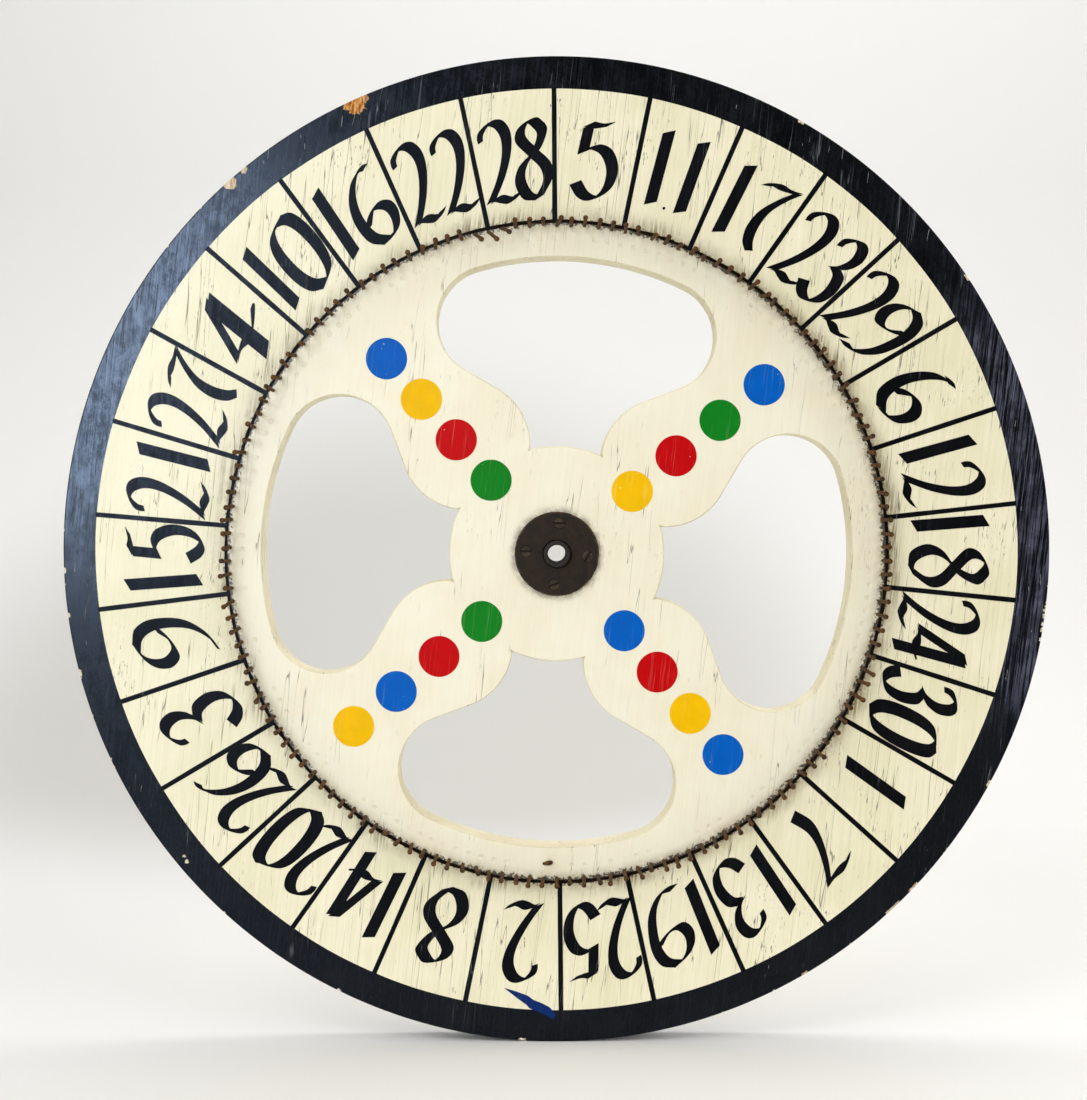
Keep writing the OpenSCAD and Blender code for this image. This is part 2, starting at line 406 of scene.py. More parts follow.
def makeCreamPaint(name, settings):
    material, tree, shader, place = newMaterial(name)
    grime = useGroup(tree, grimeGroup, {"Vector": place})
    radius = grime["Radius"]
    cracks = ramp(tree, radius, *radii["crackSpread"], settings["cracks"] - 0.12, settings["cracks"] + 0.16)
    marks = useGroup(tree, grainGroup, {"Vector": place, "Lean": grain["lean"], "Crack Width": 0.0085,
                                        "Crack Share": cracks, "Fleck Share": settings["flecks"]})
    ringShare = product(tree, ramp(tree, radius, *radii["numberRing"]), frontMask(tree, place))
    clouds = ramp(tree, noiseValue(tree, place, 18.0, 4, 0.6), 0.35, 0.65)
    inner = mixColours(tree, clouds, settings["paint"], settings["paintWarm"])
    outer = mixColours(tree, clouds, settings["ringPaint"], settings["ringPaintGreen"])
    colour = mixColours(tree, ringShare, inner, outer)
    # brush streaks, fainter inside the ring, and yellower where they are dark
    shade = ramp(tree, marks["Streak"], 0.25, 0.75, 0.93, 1.03)
    contrast = ramp(tree, ringShare, 0.0, 1.0, 0.45, 1.0)
    shade = calc(tree, "ADD", product(tree, calc(tree, "SUBTRACT", shade, 0.99), contrast), 0.99)
    blue = calc(tree, "POWER", shade, 1.6)
    tint = addNode(tree, "CombineColor", {0: shade, 1: shade, 2: blue}).outputs[0]
    colour = mixColours(tree, 1.0, colour, tint, "MULTIPLY")
    # streaky dirt that crept out from the nails
    creep = product(tree, ramp(tree, radius, *radii["creep"], 1.0, 0.0), ringShare,
                    ramp(tree, marks["Streak"], 0.41, 0.6),
                    ramp(tree, noiseValue(tree, place, 30.0, 4, 0.6), 0.4, 0.65))
    fleckStrength = ramp(tree, radius, *radii["fleckSpread"], 0.3, 0.85)
    # painted shade and dirt: a dark brown ring on the cream round the hub plate, where the plate's shadow
    # falls
    hubShadeAndDirt = product(tree, ramp(tree, radius, *radii["hubShadeAndDirt"], 1.0, 0.0),
                      ramp(tree, noiseValue(tree, place, 190.0, 5, 0.7), 0.36, 0.6))
    coats = [
        ("crack", marks["Crack"], 0.85), ("fleck", marks["Fleck"], fleckStrength), ("olive", creep, 0.9),
        ("spot", grime["Spots"], settings["spots"]), ("haze", grime["Haze"], settings["grime"]),
        ("dirt", grime["Rim"], settings["grime"]), ("hubShadeAndDirt", hubShadeAndDirt, 0.55),
    ]
    for coat, share, strength in coats:
        colour = mixColours(tree, product(tree, share, strength), colour, settings[coat])
    tree.links.new(colour, shader.inputs["Base Color"])
    tree.links.new(ramp(tree, marks["Streak"], 0.3, 0.7, 0.42, 0.55), shader.inputs["Roughness"])
    shader.inputs["Specular IOR Level"].default_value = 0.35
    height = calc(tree, "SUBTRACT", marks["Height"], product(tree, grime["Spots"], 2.5))
    addBump(tree, shader, height, 0.25 * mm, 0.5)
    return material


creamColours = {
    "paint": rgb(247, 242, 220), "paintWarm": rgb(245, 236, 210),
    "ringPaint": rgb(246, 239, 210), "ringPaintGreen": rgb(238, 232, 198),
    "crack": rgb(52, 38, 20), "fleck": rgb(40, 30, 16), "olive": rgb(116, 100, 54),
    "haze": rgb(118, 92, 40), "dirt": rgb(34, 22, 8), "grime": 0.92, "spot": rgb(214, 200, 164),
    "spots": 0.25, "hubShadeAndDirt": rgb(104, 82, 48), "cracks": 0.6, "flecks": 0.52,
}


# the band's rubbed side, and the chips that reach its edge: a direction, then shares, mm and metres
rubbed = {"way": (0.9945, 0.0, 0.1045), "spread": (0.86, 0.96)}
edgeChips = {"from": 304, "uneven": 0.0024, "spread": (0.3044, 0.3046), "dentFrom": 302, "dentShare": 0.22}


def chipMasks(tree, place, radius, chips):
    # where the paint is off, and how brown the wood is there
    chipped, warm = 0.0, 0.0
    uneven = noiseValue(tree, place, 420.0, 5, 0.7)
    rough = calc(tree, "ADD", radius, product(tree, uneven, edgeChips["uneven"]))
    atEdge = ramp(tree, rough, *edgeChips["spread"])
    for turn, out, size, brown in chips:
        x, z = clockPoint(turn, out * mm)
        away = measure(tree, "DISTANCE", place, (x, frontY, z))
        reach = product(tree, uneven, 2.0 * size * mm)
        here = ramp(tree, calc(tree, "SUBTRACT", reach, away), 0.0, 0.0004)
        if out > edgeChips["from"]:
            here = product(tree, here, atEdge)
        chipped = calc(tree, "MAXIMUM", chipped, here)
        warm = calc(tree, "MAXIMUM", warm, product(tree, here, brown))
    return chipped, warm


def makeBlackPaint(name, settings):
    material, tree, shader, place = newMaterial(name)
    marks = useGroup(tree, grainGroup, {"Vector": place, "Lean": grain["lean"], "Crack Scale": 210.0,
                                        "Crack Width": 0.009, "Crack Share": settings["scratches"],
                                        "Fleck Share": settings["flecks"]})
    streak = marks["Streak"]
    clouds = ramp(tree, noiseValue(tree, place, 25.0, 4, 0.6), 0.35, 0.7)
    colour = mixColours(tree, clouds, settings["paint"], settings["faded"])
    colour = mixColours(tree, ramp(tree, streak, 0.55, 0.8, 0.0, 0.45), colour, settings["streak"])
    scratched = product(tree, marks["Crack"], settings["scratchStrength"])
    colour = mixColours(tree, scratched, colour, settings["scratch"])
    colour = mixColours(tree, product(tree, marks["Fleck"], 0.35), colour, settings["scratch"])
    flat = stretched(tree, place, 1, 0, 1)
    way = addNode(tree, "VectorMath", {0: flat}, operation="NORMALIZE").outputs[0]
    rightSide = ramp(tree, measure(tree, "DOT_PRODUCT", way, rubbed["way"]), *rubbed["spread"])
    patchy = ramp(tree, noiseValue(tree, place, 60.0, 4, 0.65), 0.4, 0.6, 0.35, 1.0)
    worn = product(tree, rightSide, ramp(tree, streak, 0.42, 0.6), patchy, settings["wear"])
    colour = mixColours(tree, worn, colour, settings["rubbed"])
    dull = ramp(tree, noiseValue(tree, stretched(tree, place, 1, 1, 0.6), 160.0, 6, 0.8), 0.38, 0.66)
    roughness = ramp(tree, streak, 0.3, 0.72, settings["gloss"], settings["gloss"] + 0.11)
    roughness = calc(tree, "ADD", roughness, product(tree, dull, 0.14))
    height = marks["Height"]
    if settings["chips"]:
        chipped, warm = chipMasks(tree, place, measure(tree, "LENGTH", flat), settings["chips"])
        fibres = ramp(tree, noiseValue(tree, stretched(tree, place, 1, 1, 0.2), 900.0, 3), 0.4, 0.6)
        pale = mixColours(tree, fibres, *settings["paleWood"])
        brown = mixColours(tree, fibres, *settings["brownWood"])
        colour = mixColours(tree, chipped, colour, mixColours(tree, warm, pale, brown))
        roughness = calc(tree, "MAXIMUM", roughness, product(tree, chipped, 0.8))
        height = calc(tree, "SUBTRACT", height, product(tree, chipped, 2.0))
    tree.links.new(colour, shader.inputs["Base Color"])
    tree.links.new(roughness, shader.inputs["Roughness"])
    shader.inputs["Specular IOR Level"].default_value = settings["shine"]
    shader.inputs["Specular Tint"].default_value = (0.58, 0.72, 1.0, 1)
    addBump(tree, shader, height, 0.2 * mm, 0.45)
    return material


blackColours = {
    "paint": rgb(9, 9, 10), "faded": rgb(17, 17, 19), "streak": rgb(44, 46, 54),
    "scratch": rgb(150, 150, 152), "rubbed": rgb(92, 95, 114),
    "paleWood": (rgb(196, 186, 160), rgb(238, 232, 212)), "brownWood": (rgb(158, 84, 20), rgb(226, 172, 98)),
    "scratches": 0.3, "scratchStrength": 0.35, "flecks": 0.1, "gloss": 0.26, "shine": 0.055, "wear": 0.0,
    "chips": (),
}
# each place where the band's paint is off: turn in degrees, radius and size in mm, and how brown the wood is
rimChips = [
    (335.9, 301.0, 5.6, 1.0), (337.0, 303.0, 3.4, 0.8), (334.9, 302.6, 2.6, 1.0), (318.6, 302.8, 4.0, 0.35),
    (320.8, 303.9, 2.6, 0.2), (136.5, 304.7, 5.5, 0.3), (133.0, 304.7, 3.6, 0.5), (230.2, 299.2, 1.5, 0.0),
    (230.9, 298.4, 1.2, 0.1), (56.0, 304.4, 2.6, 0.2), (29.5, 304.2, 2.0, 0.1), (118.0, 304.5, 2.2, 0.3),
    (149.5, 304.6, 2.4, 0.6), (184.0, 304.4, 2.4, 0.1), (206.5, 304.5, 1.6, 0.1), (256.0, 304.4, 2.2, 0.1),
    (262.8, 304.4, 1.8, 0.2), (268.0, 304.5, 2.0, 0.0), (96.6, 304.4, 1.4, 0.0), (97.3, 304.6, 1.8, 0.0),
    (98.2, 304.2, 1.5, 0.0), (98.9, 304.6, 1.9, 0.0), (100.1, 304.5, 1.3, 0.1),
]


def smallChips(count):
    rng = random.Random(3)
    places = [rng.choice((rng.uniform(0, 360), rng.gauss(120, 22), rng.gauss(255, 16)))
              for _ in range(count)]
    return [(turn % 360, 304.7, rng.uniform(0.5, 1.2), rng.uniform(0, 0.3)) for turn in places]


rimChips += smallChips(22)

creamPaint = makeCreamPaint("creamPaint", creamColours)
# the cut-out walls: the same cream painted darker as painted shade on the walls, with more cracks and flecks
# of wear
wallShadeAndWearPaint = makeCreamPaint("wallShadeAndWearPaint", {
    **creamColours, "paint": rgb(238, 230, 200), "paintWarm": rgb(222, 212, 178), "cracks": 0.8,
    "flecks": 0.7, "spots": 0.0})
bandPaint = makeBlackPaint("bandPaint", {
    **blackColours, "scratches": 0.4, "scratchStrength": 0.4, "flecks": 0.25, "gloss": 0.16, "shine": 0.16,
    "wear": 0.85, "chips": rimChips})
linePaint = makeBlackPaint("linePaint", blackColours)
ringPaint = makeBlackPaint("ringPaint", {
    **blackColours, "paint": rgb(22, 15, 9), "faded": rgb(36, 24, 13), "shine": 0.02})
print("paints mixed")

# board

board = {
    "cuts": 4, "cutTurn": 5.0, "cutOuter": 182.5, "centre": 66.5, "lobe": 34.0, "lobeTurn": 20.5,
    "swell": 40.0, "neck": 44.0, "overCut": 1.3, "cutEase": 0.7, "rimEase": 0.8,
    "bandInner": 284.9, "hole": 14.2, "rimPoints": 960, "holePoints": 96,
}


def cutOutline(b):
    # the right half from the top down, then its mirror image back up, in mm
    lobeOut = b["cutOuter"] - b["lobe"]
    lobe = Vector(clockPoint(b["lobeTurn"], lobeOut))
    side = b["neck"] / 2 + b["swell"]
    swell = Vector((side, side))
    away = swell - lobe
    open_ = math.degrees(math.acos((b["lobe"] + b["swell"]) / away.length))
    flank = turnOf(away) - open_
    creaseTurn = turnOf((b["neck"] / 2, math.sqrt(b["centre"] ** 2 - (b["neck"] / 2) ** 2)))
    crease = Vector(clockPoint(creaseTurn, b["centre"]))
    creaseSide = turnOf(crease - swell) % 360
    half = arc((0, 0), b["cutOuter"], 0, b["lobeTurn"], 1.2)[:-1]
    half += arc(lobe, b["lobe"], b["lobeTurn"], flank, 1.2)
    half += arc(swell, b["swell"], flank + 180, creaseSide, 1.2)[:-1]
    sawWay = (crease - Vector((0, b["centre"] + 14))).normalized()
    half.append(tuple(crease + sawWay * b["overCut"]))
    half += arc((0, 0), b["centre"], creaseTurn, 0, 1.2)[1:]
    mirrored = [(-x, y) for x, y in half[-2:0:-1]]
    return [(x * mm, y * mm) for x, y in half + mirrored]


def easeRound(size, depth, steps=3):
    # a rounded edge on the front and the same on the back: (inset, y)
    quarter = [math.radians(90 * k / steps) for k in range(steps + 1)]
    front = [(size * (1 - math.sin(a)), frontY + depth * (1 - math.cos(a))) for a in quarter]
    return front + [(inset, -y) for inset, y in reversed(front)]


def rimDent(turn):
    # how far the rim's front edge is knocked in
    depth = 0.0
    uneven = 0.75 + 0.5 * noise.noise(Vector((turn * 3, 0, 0)))
    for chipTurn, radius, size, _ in rimChips:
        gap = math.radians(abs((turn - chipTurn + 180) % 360 - 180)) * rimRadius / mm
        if radius > edgeChips["dentFrom"] and gap < size:
            depth = max(depth, edgeChips["dentShare"] * size * (1 - (gap / size) ** 2) * uneven)
    return depth * mm


def makeBoard(b):
    bm = bmesh.new()
    creamIndex, blackIndex, wallIndex = 0, 1, 2
    count = b["rimPoints"]
    turns = [360 * i / count for i in range(count)]
    outer = []
    profile = easeRound(b["rimEase"] * mm, b["rimEase"] * mm)
    for k, (inset, y) in enumerate(profile):
        knocked = max(0.0, 1 - k / 3)
        edge = [clockPoint(-t, rimRadius - inset - rimDent(-t % 360) * knocked) for t in turns]
        outer.append(ringOf(bm, edge, y))
    ringStrip(bm, outer, blackIndex)
    bandEdges = []
    for y in (frontY, backY):
        radii = [b["bandInner"] * mm + wobble(t / 9, 3, 0.25 * mm) for t in turns]
        bandEdges.append(ringOf(bm, [clockPoint(-t, r) for t, r in zip(turns, radii)], y))
    fillRegion(bm, [outer[0], bandEdges[0]], True, blackIndex)
    fillRegion(bm, [outer[-1], bandEdges[1]], False, blackIndex)
    frontRings, backRings = [bandEdges[0]], [bandEdges[1]]
    outline = cutOutline(b)
    cutProfile = easeRound(b["cutEase"] * mm, b["cutEase"] * mm)
    for i in range(b["cuts"]):
        turn = b["cutTurn"] + i * 360 / b["cuts"]
        loop = [turned(p, turn) for p in outline]
        rings = [ringOf(bm, insetLoop(loop, inset), y) for inset, y in cutProfile]
        ringStrip(bm, rings, wallIndex)
        frontRings.append(rings[0])
        backRings.append(rings[-1])
    rings = [circleRing(bm, (0, 0), b["hole"] * mm, y, b["holePoints"]) for y in (frontY, backY)]
    ringStrip(bm, rings, creamIndex)
    fillRegion(bm, frontRings + [rings[0]], True, creamIndex)
    fillRegion(bm, backRings + [rings[1]], False, creamIndex)
    bmesh.ops.recalc_face_normals(bm, faces=bm.faces[:])
    markSharp(bm)
    paints = [creamPaint, bandPaint, wallShadeAndWearPaint]
    return newPiece("wheelBoard", bm, "wheel", paints, ["wheel_board"])


makeBoard(board)
print("board cut")

# sector lines and the ring line

lines = {
    "count": 30, "width": 3.0, "steps": 12, "overlap": 0.6, "thickness": 0.12,
    "ring": 204.3, "ringWidth": 2.0, "ringSteps": 360, "ringThickness": 0.1,
}
# how far the hand-ruled lines stray clockwise, in degrees, at some turns
lineSlips = ((0, -0.35), (24, -0.5), (40, -0.75), (64, -0.4), (96, -0.2), (132, 0.08), (160, -0.15),
             (180, -0.55), (200, -0.4), (220, -0.85), (250, -0.75), (288, -1.3), (312, -0.85), (336, -0.17),
             (348, 0.05), (360, -0.35))


def slipAt(slips, turn):
    for (a, low), (b, high) in zip(slips, slips[1:]):
        if a <= turn <= b:
            return low + (high - low) * (turn - a) / (b - a)
    return slips[0][1]


def quadsBetween(left, right):
    return [[left[i], right[i], right[i + 1], left[i + 1]] for i in range(len(left) - 1)]


def strip(path, halfWidths):
    # quads along a path of points, with a half width at each
    left, right = [], []
    for i, p in enumerate(path):
        a, b = path[max(i - 1, 0)], path[min(i + 1, len(path) - 1)]
        way = Vector((b[0] - a[0], b[1] - a[1])).normalized()
        left.append((p[0] - way.y * halfWidths[i], p[1] + way.x * halfWidths[i]))
        right.append((p[0] + way.y * halfWidths[i], p[1] - way.x * halfWidths[i]))
    return quadsBetween(left, right)


def makeSectorLines(s):
    bm = bmesh.new()
    inner, outer = s["ring"] * mm, (board["bandInner"] + s["overlap"]) * mm
    for k in range(s["count"]):
        turn = k * 360 / s["count"]
        turn += slipAt(lineSlips, turn)
        path, widths = [], []
        for step in range(s["steps"] + 1):
            path.append(clockPoint(turn, inner + (outer - inner) * step / s["steps"]))
            widths.append((s["width"] / 2 + wobble(step / 3, k + 11, 0.16)) * mm)
        paintFilm(bm, strip(path, widths), s["thickness"] * mm)
    return newPiece("sectorLines", bm, "wheel", [linePaint])


def makeRingLine(s):
    bm = bmesh.new()
    steps = s["ringSteps"]
    edge = []
    for k in range(steps):
        turn = 360 * k / steps
        radius = s["ring"] * mm + wobble(turn / 6, 5, 0.3 * mm)
        half = (s["ringWidth"] / 2 + wobble(turn / 1.7, 6, 0.55)) * mm
        edge.append((clockPoint(turn, radius - half), clockPoint(turn, radius + half)))
    quads = [[a[0], b[0], b[1], a[1]] for a, b in zip(edge, edge[1:] + edge[:1])]
    paintFilm(bm, quads, s["ringThickness"] * mm)
    return newPiece("ringLine", bm, "wheel", [ringPaint])


makeSectorLines(lines)
makeRingLine(lines)
print("lines painted")

# numbers, drawn as a broad pen draws them

pen = {"half": (3.42, 1.8), "edge": 0.6, "baseline": 218.0, "middle": 243.0, "thickness": 0.15,
       "press": (1.02, 0.95)}
# each stroke's points are (right, up) in mm from the middle of a digit's baseline, and some have a pen width
digitStrokes = {
    "0": [[(2, 48), (-5.5, 43.5), (-9, 33), (-9, 17), (-6, 5.5), (0, 0.8)],
          [(1.5, 48.2), (6.5, 45), (9, 34.5), (9, 19), (6, 6.5), (-1, 0.8)]],
    "1": [[(0, 48.2), (0, 3.2)]],
    "2": [[(-9.3, 38.5, 0.5), (-9, 42, 0.65), (-6.5, 46.2), (-1.5, 49), (4, 47), (7.5, 39.5), (6, 29),
           (0, 15), (-8.3, 1)],
          [(-7.8, 1), (-3, 2.8), (1.5, 1.2), (6, 0.8), (10, 4.4)]],
    "3": [[(-8.4, 38.5, 0.5), (-8, 42, 0.65), (-5.4, 46), (0, 49), (5, 46.5), (7, 39), (4, 31), (-1.5, 26)],
          [(0.5, 27), (6, 24), (8.5, 14.5), (6, 5), (0, 0.8), (-6, 3), (-10, 9)]],
    "4": [[(3.4, 47), (-12.8, 12)],
          [(-12.8, 12), (-4.5, 14.6), (3, 13.2), (8, 15.2), (13.5, 18.4, 1.9), (18, 23, 0.6)],
          [(5.2, 46.5, 1.45), (1.6, -0.5, 1.45)]],
    "5": [[(-6.5, 46), (-0.5, 45.4), (7, 47.2)], [(-6.5, 45), (-8.6, 28.5)],
          [(-7.5, 30), (-1, 32.5), (6, 29.5), (10.2, 20), (8.2, 8.5), (1, 1.6), (-6, 2.8), (-11.6, 9.8)]],
    "6": [[(-1.5, 45, 0.8), (1.2, 46.8, 0.8), (4.8, 46.4, 0.8)],
          [(2.2, 46.6), (-4.2, 41), (-9.2, 30.5), (-11.3, 18), (-8.4, 6), (-0.5, 0.8)],
          [(-8, 12), (-2, 20.5), (4, 22.8), (10, 19.5), (11.3, 12.5), (7.5, 4), (-0.5, 0.8)]],
    "7": [[(-11.5, 42.5), (-6.5, 46, 1.15), (1.5, 46, 1.15), (9.8, 48)],
          [(9.4, 48, 0.8), (2.6, 37, 0.85), (-3, 24, 0.9), (-4.6, 13), (-1.2, 1.5)]],
    "8": [[(6, 44), (0.5, 48), (-6.5, 44.5), (-8.3, 37), (0, 28.5), (8.3, 20.5), (9.6, 12), (3, 1.8)],
          [(5.5, 45), (7.2, 40), (2, 29.5), (-7, 21.5), (-10.2, 12), (-5.5, 2.5), (3, 1)]],
    "9": [[(9, 35), (4.5, 30), (-1, 26.6), (-7, 25.7), (-11, 31.5), (-10, 39.5), (-5.5, 45.5), (1, 48.8)],
          [(0, 48.8), (8, 45), (11.2, 34), (8, 16.5), (-0.5, 4.5), (-10, -1)]],
}
pairStrokes = {  # drawn otherwise where two digits share a sector
    "2": [[(-8.6, 38, 0.5), (-8.4, 41.5, 0.65), (-6, 45.6), (-1.5, 48.8), (4, 47.3), (7.2, 40), (6, 29),
           (0.6, 15), (-7.4, 1.2)],
          [(-7, 1.2), (-2.8, 2.9), (1.8, 1.4), (5.8, 0.8), (9.8, 4.6)]],
    "4": [[(3, 47), (-9, 14)], [(-9, 14), (-3, 15.5), (3, 13.5), (10, 17)], [(4.8, 46.5), (3.8, 0.5)]],
    "5": [[(-5.5, 46), (-0.5, 45.4), (7, 47.4)], [(-5.8, 45), (-7, 27.5)],
          [(-6.2, 29.5), (-1, 31.2), (4.7, 28.2), (8, 19), (6.3, 8.5), (1, 1.6), (-4.6, 2.8), (-9.4, 9.5)]],
    "6": [[(1.6, 45.4, 0.8), (4.6, 46.9, 0.8), (7.8, 46.4, 0.8)],
          [(5, 47), (-1.8, 42.5), (-8, 32), (-10.2, 19), (-7.5, 6.5), (-0.5, 0.8)],
          [(-7.6, 12), (-2, 19.8), (3.4, 22.3), (9, 19.2), (10, 12), (6.6, 4), (-1, 0.8)]],
    "7": [[(-10.6, 41.5), (-6, 45.4, 1.15), (1, 45.6, 1.15), (9.2, 47.6)],
          [(9, 47.5, 0.8), (2.6, 38.5, 0.85), (-2.9, 27.5, 0.95), (-4.3, 16.5), (-2.4, 7.5, 0.9),
           (1.4, 2.4, 0.7)]],
    "9": [[(9, 36), (4.5, 31), (-1, 27.4), (-7, 26.4), (-10.6, 32), (-9.6, 39.5), (-5, 45.5), (1, 48.6)],
          [(0, 48.8), (7.6, 45), (10.6, 34), (8, 17), (2, 6.5), (-3.6, 2.4), (-9.8, 2)]],
}
# for each number, clockwise from the top: where its digits stand, right of the sector's middle, in mm
numbers = [
    (5, -1.1), (11, -13.1, 7.3), (17, -14.5, 8.2), (23, -13, 9.6), (29, -15, 8), (6, 0), (12, -14.2, 6.7),
    (18, -18.8, 8), (24, -13, 8.2), (30, -13.4, 11.2), (1, -1.5), (7, 1.6), (13, -15, 8.8), (19, -16.3, 5.6),
    (25, -15.2, 9.6), (2, -3.7), (8, -2.9), (14, -16.3, 3.8), (20, -17.5, 5.2), (26, -14.9, 7.4), (3, -3.4),
    (9, -3.4), (15, -17.6, 7), (21, -16.1, 9.4), (27, -16.6, 9.5), (4, -5.3), (10, -17.3, 6.8),
    (16, -16.2, 7.9), (22, -12, 11.8), (28, -11, 11),
]
digitWidths = {(3, "3"): 1.1, (9, "9"): 1.12, (10, "0"): 1.2, (16, "6"): 1.05, (19, "9"): 1.05,
               (20, "0"): 1.02, (20, "2"): 0.93, (23, "3"): 0.9, (28, "8"): 0.86, (29, "9"): 0.94,
               (30, "3"): 0.8, (30, "0"): 0.93}
digitPress = {"0": 1.08, "1": 1.06}
digitLifts = {24: -3.0, 30: -2.0, 11: 1.5}


def curvePoints(points, steps=9):
    # a smooth curve through points of (right, up, pen width)
    points = [Vector((p[0], p[1], p[2] if len(p) > 2 else 1.0)) for p in points]
    if len(points) < 3:
        return [points[0].lerp(points[1], t / steps) for t in range(steps + 1)]
    ends = [2 * points[0] - points[1]] + points + [2 * points[-1] - points[-2]]
    made = []
    for a, b, c, d in zip(ends, ends[1:], ends[2:], ends[3:]):
        for k in range(steps):
            t = k / steps
            made.append(0.5 * (2 * b + (c - a) * t + (2 * a - 5 * b + 4 * c - d) * t * t
                               + (3 * b - a - 3 * c + d) * t ** 3))
    return made + [points[-1]]


def penStroke(path, press):
    # the area that the pen's slanted oval nib covers along a path
    nib = Vector(pen["half"]) * press
    along, across = nib.normalized(), Vector((-nib.y, nib.x)).normalized()
    left, right = [], []
    for i, p in enumerate(path):
        before, after = path[max(i - 1, 0)], path[min(i + 1, len(path) - 1)]
        way = (after - before).to_2d().normalized()
        normal = Vector((-way.y, way.x))
        wide, thin = nib.length * p.z, pen["edge"]
        a, b = normal.dot(along), normal.dot(across)
        reach = math.sqrt((wide * a) ** 2 + (thin * b) ** 2)
        offset = (wide ** 2 * a * along + thin ** 2 * b * across) / reach
        left.append(p.to_2d() + offset)
        right.append(p.to_2d() - offset)
    return quadsBetween(left, right)


def makeNumber(index, number, places):
    bm = bmesh.new()
    text = str(number)
    polygons = []
    for digit, place in zip(text, places):
        strokes = digitStrokes[digit]
        if len(text) == 2:
            strokes = pairStrokes.get(digit, strokes)
        width = digitWidths.get((number, digit), 1.0)
        press = digitPress.get(digit, pen["press"][len(text) - 1])
        turn = (index + 0.5) * 360 / lines["count"] + math.degrees(place / pen["middle"])
        base = pen["baseline"] + digitLifts.get(number, 0.0)
        for stroke in strokes:
            points = [(p[0] * width, *p[1:]) for p in stroke]
            for quad in penStroke(curvePoints(points), press):
                polygons.append([turned((q.x * mm, (base + q.y) * mm), turn) for q in quad])
    paintFilm(bm, polygons, pen["thickness"] * mm)
    return newPiece(f"number{number}", bm, "wheel", [linePaint])


for index, (number, *places) in enumerate(numbers):
    makeNumber(index, number, places)
print("numbers painted")

# dots

dots = {
    "radius": 12.7, "thickness": 0.14, "points": 72,
    "blue": rgb(0, 96, 196), "yellow": rgb(252, 196, 0), "red": rgb(200, 2, 8), "green": rgb(14, 130, 30),
    # each row's first and last dot, as turn and distance from the centre, and its colours outward
    "rows": [((50.4, 60.4), (50.8, 164.8), ("yellow", "red", "green", "blue")),
             ((138.8, 63.4), (140.4, 161.9), ("blue", "red", "yellow", "blue")),
             ((227.9, 62.5), (229.6, 165.3), ("green", "red", "blue", "yellow")),
             ((318.2, 60.8), (318.9, 159.4), ("green", "red", "yellow", "blue"))],
}


def makeDotPaint(name, colour):
    material, tree, shader, place = newMaterial(name)
    marks = useGroup(tree, grainGroup, {"Vector": place, "Lean": grain["lean"], "Crack Width": 0.009,
                                        "Crack Share": 0.15, "Fleck Share": 0.2})
    clouds = ramp(tree, noiseValue(tree, place, 90.0, 4), 0.3, 0.7)
    deep = tuple(c * 0.92 for c in colour[:3]) + (1,)
    mixed = mixColours(tree, clouds, deep, colour)
    mixed = mixColours(tree, ramp(tree, marks["Streak"], 0.55, 0.8, 0.0, 0.12), mixed, rgb(235, 230, 210))
    mixed = mixColours(tree, product(tree, marks["Crack"], 0.3), mixed, rgb(240, 235, 215))
    specks = ramp(tree, noiseValue(tree, place, 700.0, 1), 0.8, 0.83)
    mixed = mixColours(tree, specks, mixed, rgb(245, 242, 225))
    tree.links.new(mixed, shader.inputs["Base Color"])
    tree.links.new(ramp(tree, marks["Streak"], 0.3, 0.7, 0.4, 0.55), shader.inputs["Roughness"])
    shader.inputs["Specular IOR Level"].default_value = 0.04
    addBump(tree, shader, marks["Height"], 0.2 * mm, 0.4)
    return material


def makeDots(d):
    paints = {name: makeDotPaint(name + "DotPaint", d[name]) for name in ("blue", "yellow", "red", "green")}
    for row, (first, last, colours) in enumerate(d["rows"]):
        first, last = Vector(clockPoint(*first)) * mm, Vector(clockPoint(*last)) * mm
        for k, colour in enumerate(colours):
            bm = bmesh.new()
            centre = first.lerp(last, k / 3)
            rim = []
            for i in range(d["points"]):
                spin = 360 * i / d["points"]
                radius = d["radius"] * mm + wobble(spin / 40, row * 4 + k + 20, 0.12 * mm)
                p = clockPoint(spin, radius)
                rim.append((centre[0] + p[0], centre[1] + p[1]))
            paintFilm(bm, [rim], d["thickness"] * mm)
            name = f"dot{row + 1}{colour.capitalize()}{k + 1}"
            newPiece(name, bm, "wheel", [paints[colour]])


makeDots(dots)

smear = {
    "colour": rgb(14, 44, 108), "thickness": 0.17,
    # the blue stroke that ran in from the band: points in degrees and mm from the centre
    "edge": [(186.9, 272.8), (185.3, 274.2), (183.8, 276.2), (182.9, 279.0), (182.0, 280.4), (180.9, 283.0),
             (180.1, 287.5), (180.4, 291.0), (181.5, 287.6), (183.4, 284.2), (183.9, 281.9), (185.0, 278.6)],
}


def makeSmear(s):
    bm = bmesh.new()
    paint = makeDotPaint("smearPaint", s["colour"])
    paintFilm(bm, [[clockPoint(turn, radius * mm) for turn, radius in s["edge"]]], s["thickness"] * mm)
    return newPiece("blueSmear", bm, "wheel", [paint])


makeSmear(smear)

marks = {  # small things on the paint: turn, radius and size of each, in degrees and mm
    "drop": (17.2, 222.0, 0.9), "thickness": 0.16, "colour": rgb(168, 168, 166),
    "placed": [(333.6, 296.0, 7.0), (334.9, 293.5, 7.5), (336.0, 296.5, 4.0)],
    "scratches": 24, "scratchWidth": 0.2, "scratchLean": 6,
}


